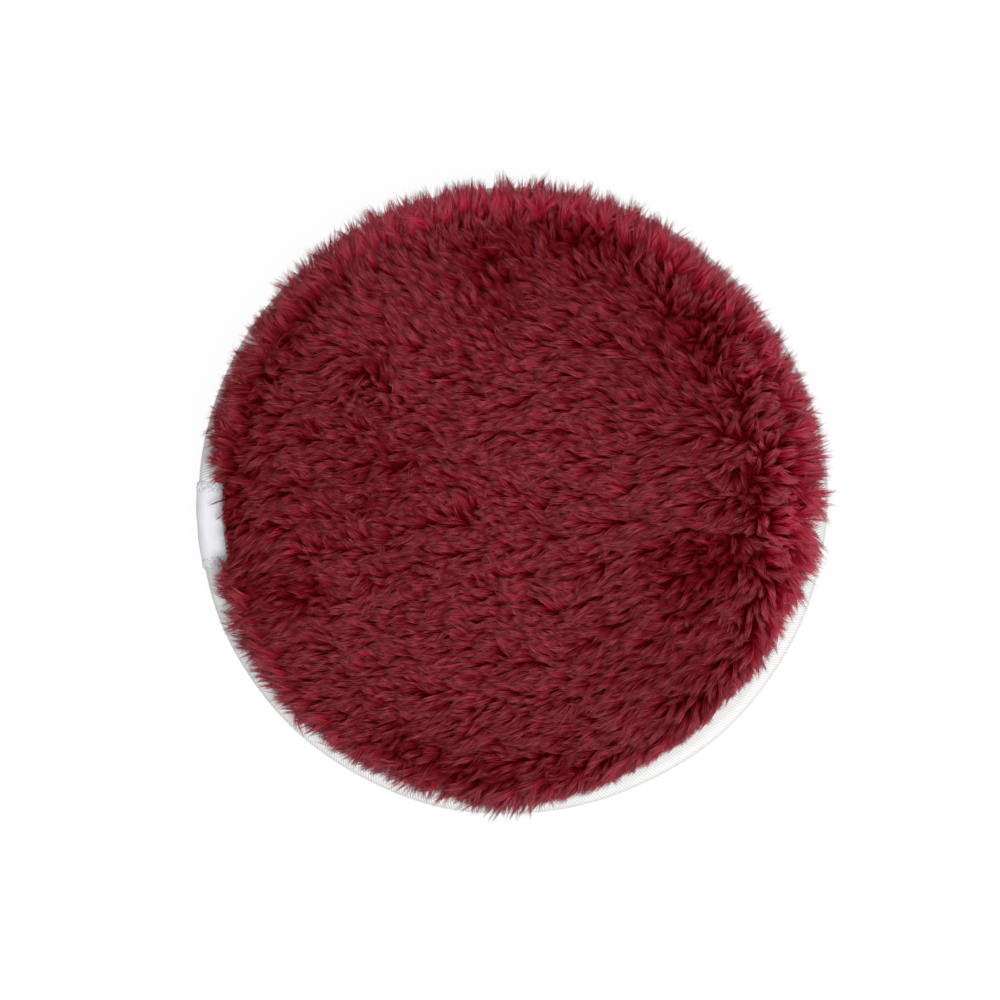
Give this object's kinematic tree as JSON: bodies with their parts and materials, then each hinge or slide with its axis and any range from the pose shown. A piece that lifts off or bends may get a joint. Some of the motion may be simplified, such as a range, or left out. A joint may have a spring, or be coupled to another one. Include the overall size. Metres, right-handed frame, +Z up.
{
  "type": "makeup remover sponge",
  "caption": "Round double-sided plush makeup remover pad with a sponge inside, a sewn binding tape round its edge and a bare satin label folded over the edge.",
  "frame": {"origin": "middle of the flat patch of the back plush that the pad lies on", "axes": "+Z up out of the front plush, +Y towards the top of the picture and +X to its right, so the label is near -X"},
  "size_m": [0.1211, 0.12, 0.0195],
  "materials": {
    "plush": "long polyester pile in pointed locks",
    "sponge": "open-cell sponge",
    "tape": "ribbed woven tape",
    "thread": "twisted polyester thread",
    "satin": "smooth satin, bare"
  },
  "bodies": {
    "root": {"front_plush": "plush", "back_plush": "plush", "sponge_core": "sponge", "binding_tape": "tape", "needle_thread": "thread", "bobbin_thread": "thread", "edge_label": "satin", "label_tack_upper": "thread", "label_tack_lower": "thread"}
  },
  "joints": []
}
